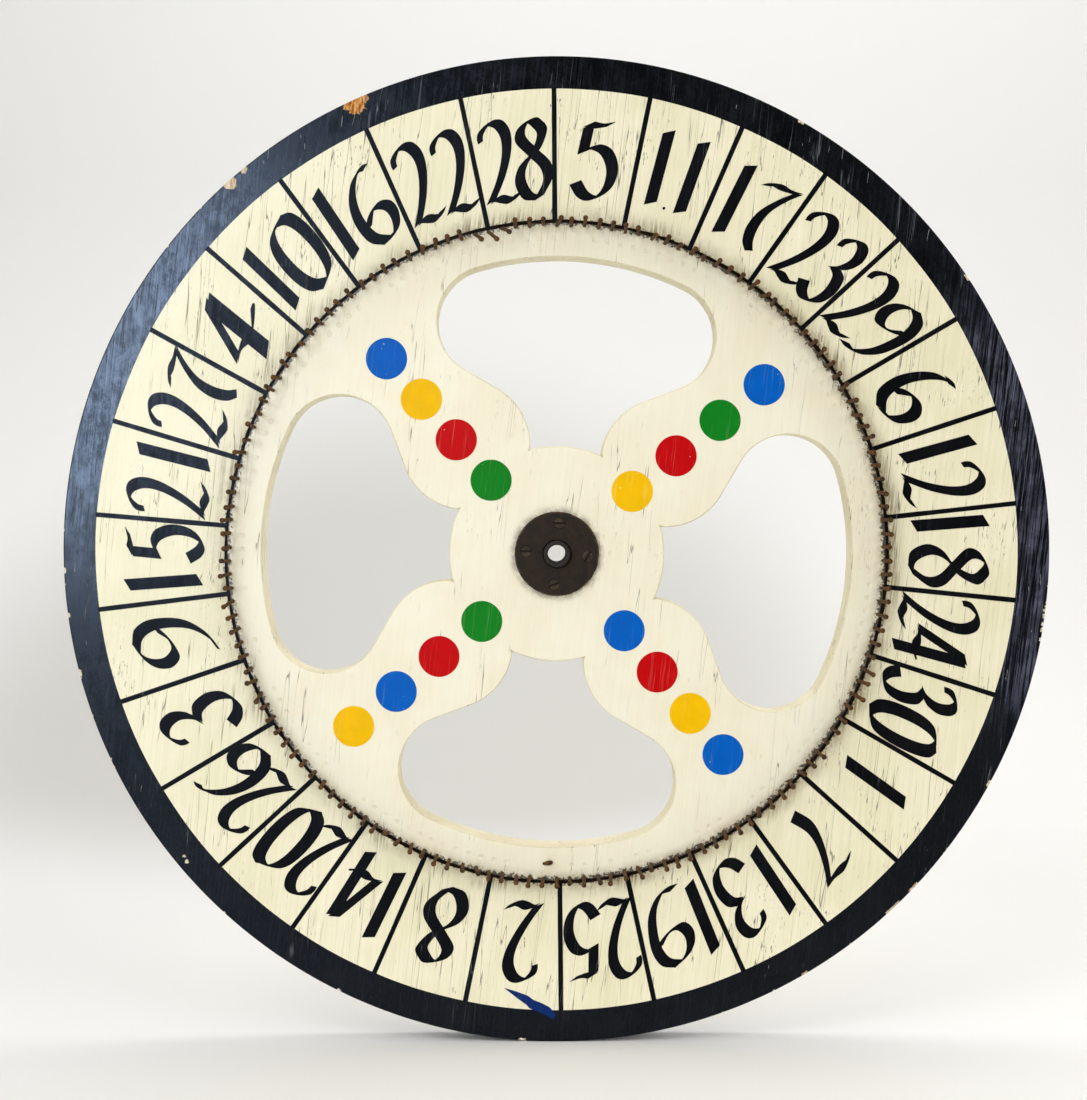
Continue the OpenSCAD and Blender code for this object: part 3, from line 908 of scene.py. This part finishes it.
def makeMarks(m):
    bm = bmesh.new()
    turn, radius, size = m["drop"]
    centre = clockPoint(turn, radius * mm)
    edge = [clockPoint(30 * i, size * mm * (1 + wobble(i / 2, 9, 0.3))) for i in range(12)]
    drop = [(centre[0] + p[0], centre[1] + p[1]) for p in edge]
    paintFilm(bm, [drop], m["thickness"] * mm)
    newPiece("paintDrop", bm, "wheel", [linePaint])
    # pale scratches across the black band, most of them along the grain and near the two sides
    rng = random.Random(7)
    bm = bmesh.new()
    chosen = list(m["placed"])
    for _ in range(m["scratches"]):
        turn = rng.choice((rng.gauss(40, 9), rng.gauss(98, 14), rng.gauss(262, 12), rng.gauss(318, 8),
                           rng.uniform(0, 360)))
        chosen.append((turn, rng.uniform(287.5, 302.5), rng.choice((1.5, 2.5, 4.0, 7.0))))
    for turn, radius, length in chosen:
        middle = Vector(clockPoint(turn, radius * mm))
        lean = Vector(clockPoint(m["scratchLean"] + rng.gauss(0, 5), 1.0))
        path, widths = [], []
        for k in range(6):
            bend = wobble(k / 2, turn, 0.12 * mm)
            path.append(middle + lean * (k / 5 - 0.5) * length * mm + Vector((bend, 0)))
            widths.append(m["scratchWidth"] * mm * rng.uniform(0.3, 1.0) * (0.3 if k in (0, 5) else 0.7))
        paintFilm(bm, strip(path, widths), m["thickness"] * mm)
    newPiece("bandScratches", bm, "wheel", [makeDotPaint("scratchPaint", m["colour"])])


makeMarks(marks)
print("dots painted")

# nails

nails = {
    "sectors": 30, "each": 5, "circle": 202.0, "shank": 1.12, "head": 1.6, "headHeight": 1.4, "out": 21.0,
    "sunk": 6.0, "lean": 2.2, "sides": 12, "steps": 9,
    "broken": {"turn": 182.3, "radius": 193.0, "tip": (-1.6, -4.4), "out": 3.0},
    # nails that someone knocked: number, how far the tip went out and clockwise, in mm
    "knocked": {144: (-7.6, 3.4), 145: (-9.0, 4.2), 146: (-6.4, 4.0), 46: (3.2, 1.0), 47: (2.6, -0.8),
                48: (3.6, 0.5), 88: (-3.0, 2.0), 109: (2.0, -2.0)},
}


def makeRust(name, dark, light, scale):
    material, tree, shader, place = newMaterial(name)
    rust = useGroup(tree, rustGroup, {"Vector": place, "Dark": dark, "Light": light, "Scale": scale})
    tree.links.new(rust["Color"], shader.inputs["Base Color"])
    tree.links.new(rust["Roughness"], shader.inputs["Roughness"])
    shader.inputs["Metallic"].default_value = 0.25
    shader.inputs["Specular IOR Level"].default_value = 0.25
    addBump(tree, shader, rust["Height"], 0.3 * mm, 0.6)
    return material


nailRust = makeRust("nailRust", rgb(38, 25, 7), rgb(108, 69, 20), 420.0)


def nailMesh(bm, base, outward, sideways, rng, out):
    # a nail on a curved line from its base, with its tip moved outward and sideways in the board's plane
    n = nails
    shank, head = n["shank"], n["head"]
    length = out + n["sunk"]
    neck = length - n["headHeight"]
    steps = n["steps"]
    rows = [(length * k / steps, shank * (1 + 0.07 * rng.uniform(-1, 1))) for k in range(steps)]
    rows = [r for r in rows if r[0] < neck - 0.6]
    rows += [(neck - 0.3, shank), (neck + 0.1, head * 0.96), (neck + 0.5, head)]
    rows += [(length - 0.45, head * 0.98), (length - 0.12, head * 0.8), (length, head * 0.45)]
    up = Vector((base[0], base[1])).normalized()
    right = Vector((up.y, -up.x))
    rings = []
    for depth, radius in rows:
        t = max(0.0, (depth - n["sunk"]) / max(out, 0.001))
        shift = up * outward * t ** 1.25 + right * sideways * t ** 1.25
        centre = Vector((base[0] + shift.x * mm, base[1] + shift.y * mm))
        y = frontY - (depth - n["sunk"]) * mm
        ring = []
        for i in range(n["sides"]):
            a = 2 * math.pi * i / n["sides"]
            r = radius * mm * (1 + 0.05 * rng.uniform(-1, 1))
            ring.append(bm.verts.new((centre.x + r * math.cos(a), y, centre.y + r * math.sin(a))))
        rings.append(ring)
    ringStrip(bm, rings)
    bm.faces.new(rings[0])
    bm.faces.new(rings[-1])


def makeNails(n):
    rng = random.Random(24)
    pitch = 360 / n["sectors"] / n["each"]
    for sector in range(n["sectors"]):
        bm = bmesh.new()
        for k in range(n["each"]):
            index = sector * n["each"] + k
            base = clockPoint(index * pitch + rng.gauss(0, 0.05), (n["circle"] + rng.gauss(0, 0.25)) * mm)
            lean = n["out"] * math.tan(math.radians(n["lean"]))
            outward, sideways = rng.gauss(0, lean), rng.gauss(0, lean)
            outward, sideways = n["knocked"].get(index, (outward, sideways))
            nailMesh(bm, base, outward, sideways, rng, n["out"] - abs(rng.gauss(0, 0.4)))
        bmesh.ops.recalc_face_normals(bm, faces=bm.faces[:])
        markSharp(bm, 50)
        node = f"nails_sector_{sector + 1}"
        newPiece(f"nails{sector + 1}", bm, "wheel", [nailRust], [node])
    bm = bmesh.new()
    broken = n["broken"]
    nailMesh(bm, clockPoint(broken["turn"], broken["radius"] * mm), *broken["tip"], rng, broken["out"])
    bmesh.ops.recalc_face_normals(bm, faces=bm.faces[:])
    newPiece("brokenNail", bm, "wheel", [nailRust], ["broken_nail"])


makeNails(nails)
print("nails driven")

# hub

hub = {
    "plate": 26.0, "plateHole": 8.55, "plateEase": 0.7, "screwCircle": 19.0, "screwHole": 3.65,
    "frontTurns": (5, 95, 185, 275), "frontSlots": (90, 30, 70, 90),
    "backTurns": (50, 140, 230, 320), "backSlots": (75, 10, 140, 60),
    "screw": 3.5, "slotWidth": 1.3, "slotDepth": 0.8, "headFoot": 0.86, "holeEase": 0.35,
    "holePath": [(1.8, 1.85), (1.8, 3.2)],  # radius and depth of each screw hole under its edge
    "shankPath": [(1.7, 1.8), (1.7, 8.5), (0.4, 12.4)],  # the same for each screw under its head
}


def makePlateMetal(name, dark, light, edge):
    material, tree, shader, place = newMaterial(name)
    rust = useGroup(tree, rustGroup, {"Vector": place, "Dark": dark, "Light": light, "Scale": 160.0})
    radius = measure(tree, "LENGTH", stretched(tree, place, 1, 0, 1))
    # a lighter ring round the plate's rim: worn metal, and partly a painted highlight along the edge
    worn = product(tree, ramp(tree, radius, 0.0249, 0.0256),
                ramp(tree, noiseValue(tree, place, 500.0, 3), 0.45, 0.6))
    colour = mixColours(tree, product(tree, worn, 0.6), rust["Color"], edge)
    tree.links.new(colour, shader.inputs["Base Color"])
    tree.links.new(product(tree, rust["Roughness"], 0.85), shader.inputs["Roughness"])
    shader.inputs["Metallic"].default_value = 0.1
    shader.inputs["Specular IOR Level"].default_value = 0.1
    addBump(tree, shader, rust["Height"], 0.15 * mm, 0.5)
    return material


plateMetal = makePlateMetal("plateMetal", rgb(31, 23, 16), rgb(46, 35, 25), rgb(112, 92, 68))
screwMetal = makePlateMetal("screwMetal", rgb(44, 35, 26), rgb(74, 60, 45), rgb(84, 70, 52))
# the screw slots' floors: near-black metal that paints the shade inside the slots
slotShadeMetal = makePlateMetal("slotShadeMetal", rgb(13, 10, 7), rgb(22, 17, 12), rgb(22, 17, 12))
sleeveMetal = makeRust("sleeveMetal", rgb(22, 18, 14), rgb(42, 35, 28), 220.0)
bushMetal = makeRust("bushMetal", rgb(140, 100, 52), rgb(170, 126, 70), 200.0)


def makePlate(name, side, turns, node):
    # side is -1 for the front plate and 1 for the back plate
    bm = bmesh.new()
    h = hub
    inner, outer = side * abs(frontY), side * abs(plateFrontY)
    ease = h["plateEase"] * mm
    count = 144
    edge = [clockPoint(-360 * i / count, h["plate"] * mm) for i in range(count)]
    angles = [math.pi / 6 * k for k in range(4)]
    rings = [ringOf(bm, insetLoop(edge, ease * (1 - math.sin(a))), outer - side * ease * (1 - math.cos(a)))
             for a in angles]
    rings.append(ringOf(bm, edge, inner))
    ringStrip(bm, rings)
    loops, backLoops = [rings[0]], [rings[-1]]
    hole = [clockPoint(360 * i / 72, h["plateHole"] * mm) for i in range(72)]
    holeEase = h["holeEase"] * mm
    rings = [ringOf(bm, insetLoop(hole, holeEase), outer), ringOf(bm, hole, outer - side * holeEase),
             ringOf(bm, hole, inner)]
    ringStrip(bm, rings)
    loops.append(rings[0])
    backLoops.append(rings[-1])
    for turn in turns:
        middle = clockPoint(turn, h["screwCircle"] * mm)
        rings = [circleRing(bm, middle, radius * mm, outer - side * depth * mm, 40)
                 for radius, depth in [(h["screwHole"], 0.0)] + h["holePath"]]
        ringStrip(bm, rings)
        loops.append(rings[0])
        backLoops.append(rings[-1])
    fillRegion(bm, loops, side < 0)
    fillRegion(bm, backLoops, side > 0)
    bmesh.ops.recalc_face_normals(bm, faces=bm.faces[:])
    markSharp(bm)
    return newPiece(name, bm, "wheel", [plateMetal], [node])


def makeScrews(name, side, turns, slots, node):
    # slotted heads on plain shanks
    bm = bmesh.new()
    h = hub
    face = side * abs(plateFrontY)
    size = h["screw"]
    start = math.degrees(math.asin(h["slotWidth"] / 2 / size))
    curve = [clockPoint(start + (180 - 2 * start) * i / 24, size) for i in range(25)]
    levels = [(0.9, 0.0), (1.0, 0.4), (h["headFoot"], h["slotDepth"])]  # share of the size, and depth
    shank = [(h["headFoot"] * size, h["slotDepth"] - 0.05)] + h["shankPath"]
    for turn, slot in zip(turns, slots):
        middle = clockPoint(turn, h["screwCircle"] * mm)
        # the head's top is two halves with the slot between them
        for way in (1, -1):
            loop = [turned((x * way, y * way), slot) for x, y in curve]
            rings = []
            for share, depth in levels:
                edge = [(middle[0] + x * share * mm, middle[1] + z * share * mm) for x, z in loop]
                rings.append(ringOf(bm, edge, face - side * depth * mm))
            bm.faces.new(rings[0])
            bm.faces.new(rings[-1])
            ringStrip(bm, rings, smooth=False)
        # the slot's floor, in a near-black painted shade, the cone and the shank
        rings = [circleRing(bm, middle, radius * mm, face - side * depth * mm, 32)
                 for radius, depth in shank]
        ringStrip(bm, rings)
        bm.faces.new(rings[0]).material_index = 1
        bm.faces.new(rings[-1])
    bmesh.ops.recalc_face_normals(bm, faces=bm.faces[:])
    markSharp(bm)
    return newPiece(name, bm, "wheel", [screwMetal, slotShadeMetal], [node])


def makeTube(name, end, body, material, node, count=96):
    # end is one end's outline as (radius, y) in mm, from the bore outward, and the other end mirrors it
    bm = bmesh.new()
    profile = end + [(r, -y) for r, y in reversed(end)]
    rings = [circleRing(bm, (0, 0), r * mm, y * mm, count) for r, y in profile]
    ringStrip(bm, rings + rings[:1])
    bmesh.ops.recalc_face_normals(bm, faces=bm.faces[:])
    markSharp(bm)
    return newPiece(name, bm, body, [material], [node])


makePlate("frontPlate", -1, hub["frontTurns"], "front_plate")
makePlate("backPlate", 1, hub["backTurns"], "back_plate")
makeScrews("frontScrews", -1, hub["frontTurns"], hub["frontSlots"], "front_plate_screws")
makeScrews("backScrews", 1, hub["backTurns"], hub["backSlots"], "back_plate_screws")

bushEnd = [(11.1, 9.2), (11.4, 9.5), (13.7, 9.5), (14.05, 9.2)]
makeTube("hubBush", bushEnd, "wheel", bushMetal, "hub_bush")
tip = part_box("spindle_sleeve")[1].y / mm
sleeveEnd = [(5.55, tip - 0.45), (5.85, tip - 0.12), (6.2, tip), (7.75, tip), (8.05, tip - 0.12),
             (8.25, tip - 0.45), (8.25, 9.3), (11.0, 9.3)]
makeTube("spindleSleeve", sleeveEnd, "sleeve", sleeveMetal, "spindle_sleeve")
print("hub fitted")

# stage, lights and camera

stage = {
    "wallY": 1.7, "cove": 0.9, "coveSteps": 32, "width": 7.0, "wallTop": 3.2, "paper": rgb(240, 240, 239),
    "leftShadePaper": rgb(196, 196, 197), "leftShadeShare": 0.3, "leftSpread": (-0.5, 0.2), "lowSpread": (-0.3, 0.1),
    "behind": (-0.2, 1.1, -0.2), "behindPaper": rgb(176, 174, 168), "behindShare": 0.55,
    "behindSpread": (0.42, 0.82), "shade": rgb(196, 195, 193), "shadeSpread": (-0.26, -0.075),
}


def makeStage(s):
    # paper that runs from the floor up the wall in one sweep, with painted shade towards the left and in
    # front of the wheel, and a painted shadow of the wheel behind it
    material, tree, shader, place = newMaterial("sweepPaper")
    clouds = ramp(tree, noiseValue(tree, place, 1.2, 2), 0.3, 0.7)
    deep = tuple(c * 0.985 for c in s["paper"][:3]) + (1,)
    parts = addNode(tree, "SeparateXYZ", {0: place}).outputs
    colour = mixColours(tree, clouds, deep, s["paper"])
    # painted shade: the paper greyer towards the left and the bottom
    leftShade = product(tree, ramp(tree, parts["X"], *s["leftSpread"], 1.0, 0.0),
                       ramp(tree, parts["Z"], *s["lowSpread"], 1.0, 0.0), s["leftShadeShare"])
    colour = mixColours(tree, leftShade, colour, s["leftShadePaper"])
    # painted shadow of the wheel: a soft grey blob on the sweep behind the wheel, seen through the cut-outs
    away = measure(tree, "DISTANCE", place, s["behind"])
    behind = ramp(tree, away, *s["behindSpread"], s["behindShare"], 0.0)
    colour = mixColours(tree, behind, colour, s["behindPaper"])
    colour = mixColours(tree, ramp(tree, parts["Y"], *s["shadeSpread"]), s["shade"], colour)
    tree.links.new(colour, shader.inputs["Base Color"])
    shader.inputs["Roughness"].default_value = 0.7
    floorZ = cadLow.z
    half = s["width"] / 2
    path = [(-half, floorZ)]
    path += [(s["wallY"] - s["cove"] * (1 - math.sin(a)), floorZ + s["cove"] * (1 - math.cos(a)))
             for a in (math.pi / 2 * k / s["coveSteps"] for k in range(s["coveSteps"] + 1))]
    path.append((s["wallY"], s["wallTop"]))
    bm = bmesh.new()
    rows = [[bm.verts.new((x, y, z)) for x in (-half, half)] for y, z in path]
    for a, b in zip(rows, rows[1:]):
        face = bm.faces.new((a[0], a[1], b[1], b[0]))
        face.smooth = True
    mesh = bpy.data.meshes.new("sweep")
    bm.to_mesh(mesh)
    bm.free()
    sweep = bpy.data.objects.new("sweep", mesh)
    mesh.materials.append(material)
    scene.collection.objects.link(sweep)


makeStage(stage)


def addPanel(name, place, aim, size, power, colour, onlyMirrored=False):
    light = bpy.data.lights.new(name, "AREA")
    light.shape = "RECTANGLE"
    light.size, light.size_y = size
    light.energy = power
    light.color = colour
    lamp = bpy.data.objects.new(name, light)
    lamp.location = place
    lamp.rotation_euler = (Vector(aim) - Vector(place)).to_track_quat("-Z", "Y").to_euler()
    lamp.visible_diffuse = not onlyMirrored
    scene.collection.objects.link(lamp)


panels = [  # name, place, aim, size, power, colour
    ("keyPanel", (-1.2, -1.9, 2.0), (0, 0, 0), (1.2, 1.2), 18.5, (1.0, 0.975, 0.93)),
    ("windowPanel", (-0.70, -1.62, 0.29), (0.0, 0, 0.04), (0.42, 0.70), 7.0, (0.90, 0.96, 1.0)),
    ("windowGlow", (-0.70, -1.621, 0.29), (0.0, 0, 0.04), (0.42, 0.70), 32.0, (0.88, 0.95, 1.0), True),
    ("fillPanel", (1.8, -1.9, 1.0), (0, 0, 0), (1.2, 1.6), 17.5, (1.0, 0.97, 0.92)),
    ("wallPanel", (0.3, 0.35, 1.9), (0.2, 1.7, 0.75), (2.2, 0.7), 17.0, (0.98, 0.99, 1.0)),
]
for panel in panels:
    addPanel(*panel)


def makeWorld(w):
    # an even white room that is dark where the glossy paint would mirror it
    world = bpy.data.worlds.new("studioWorld")
    scene.world = world
    world.use_nodes = True
    tree = world.node_tree
    background = tree.nodes["Background"]
    way = addNode(tree, "TexCoord").outputs["Generated"]
    ahead = measure(tree, "DOT_PRODUCT", way, (0.0, -1.0, 0.0))
    up = measure(tree, "DOT_PRODUCT", way, (0.0, 0.0, 1.0))
    side = measure(tree, "DOT_PRODUCT", way, (1.0, 0.0, 0.0))
    light = ramp(tree, up, -0.3, 0.9, w["low"], w["high"])
    light = calc(tree, "ADD", light, product(tree, side, w["side"]))
    strength = product(tree, light, ramp(tree, ahead, w["sideEdge"], w["frontEdge"], 1.0, w["front"]))
    # straight from the camera the room still looks pale
    seen = addNode(tree, "LightPath").outputs["Is Camera Ray"]
    strength = calc(tree, "ADD", product(tree, strength, calc(tree, "SUBTRACT", 1.0, seen)),
                    product(tree, seen, w["seen"]))
    tree.links.new(strength, background.inputs["Strength"])
    background.inputs["Color"].default_value = w["colour"]


makeWorld({"low": 0.49, "high": 1.05, "side": 0.03, "sideEdge": 0.45, "frontEdge": 0.78, "front": 0.04,
           "seen": 0.82, "colour": (1.0, 0.975, 0.94, 1)})

camera = {"place": (-0.010, -0.953, 0.032), "aim": (-0.0082, -0.0127, 0.0024), "lens": 50.0, "sensor": 36.0}
lens = bpy.data.cameras.new("camera")
lens.lens = camera["lens"]
lens.sensor_width = camera["sensor"]
eye = bpy.data.objects.new("camera", lens)
eye.location = camera["place"]
eye.rotation_euler = (Vector(camera["aim"]) - Vector(camera["place"])).to_track_quat("-Z", "Y").to_euler()
scene.collection.objects.link(eye)
scene.camera = eye
scene.view_settings.view_transform = "Standard"
scene.view_settings.look = "None"
print("stage set")
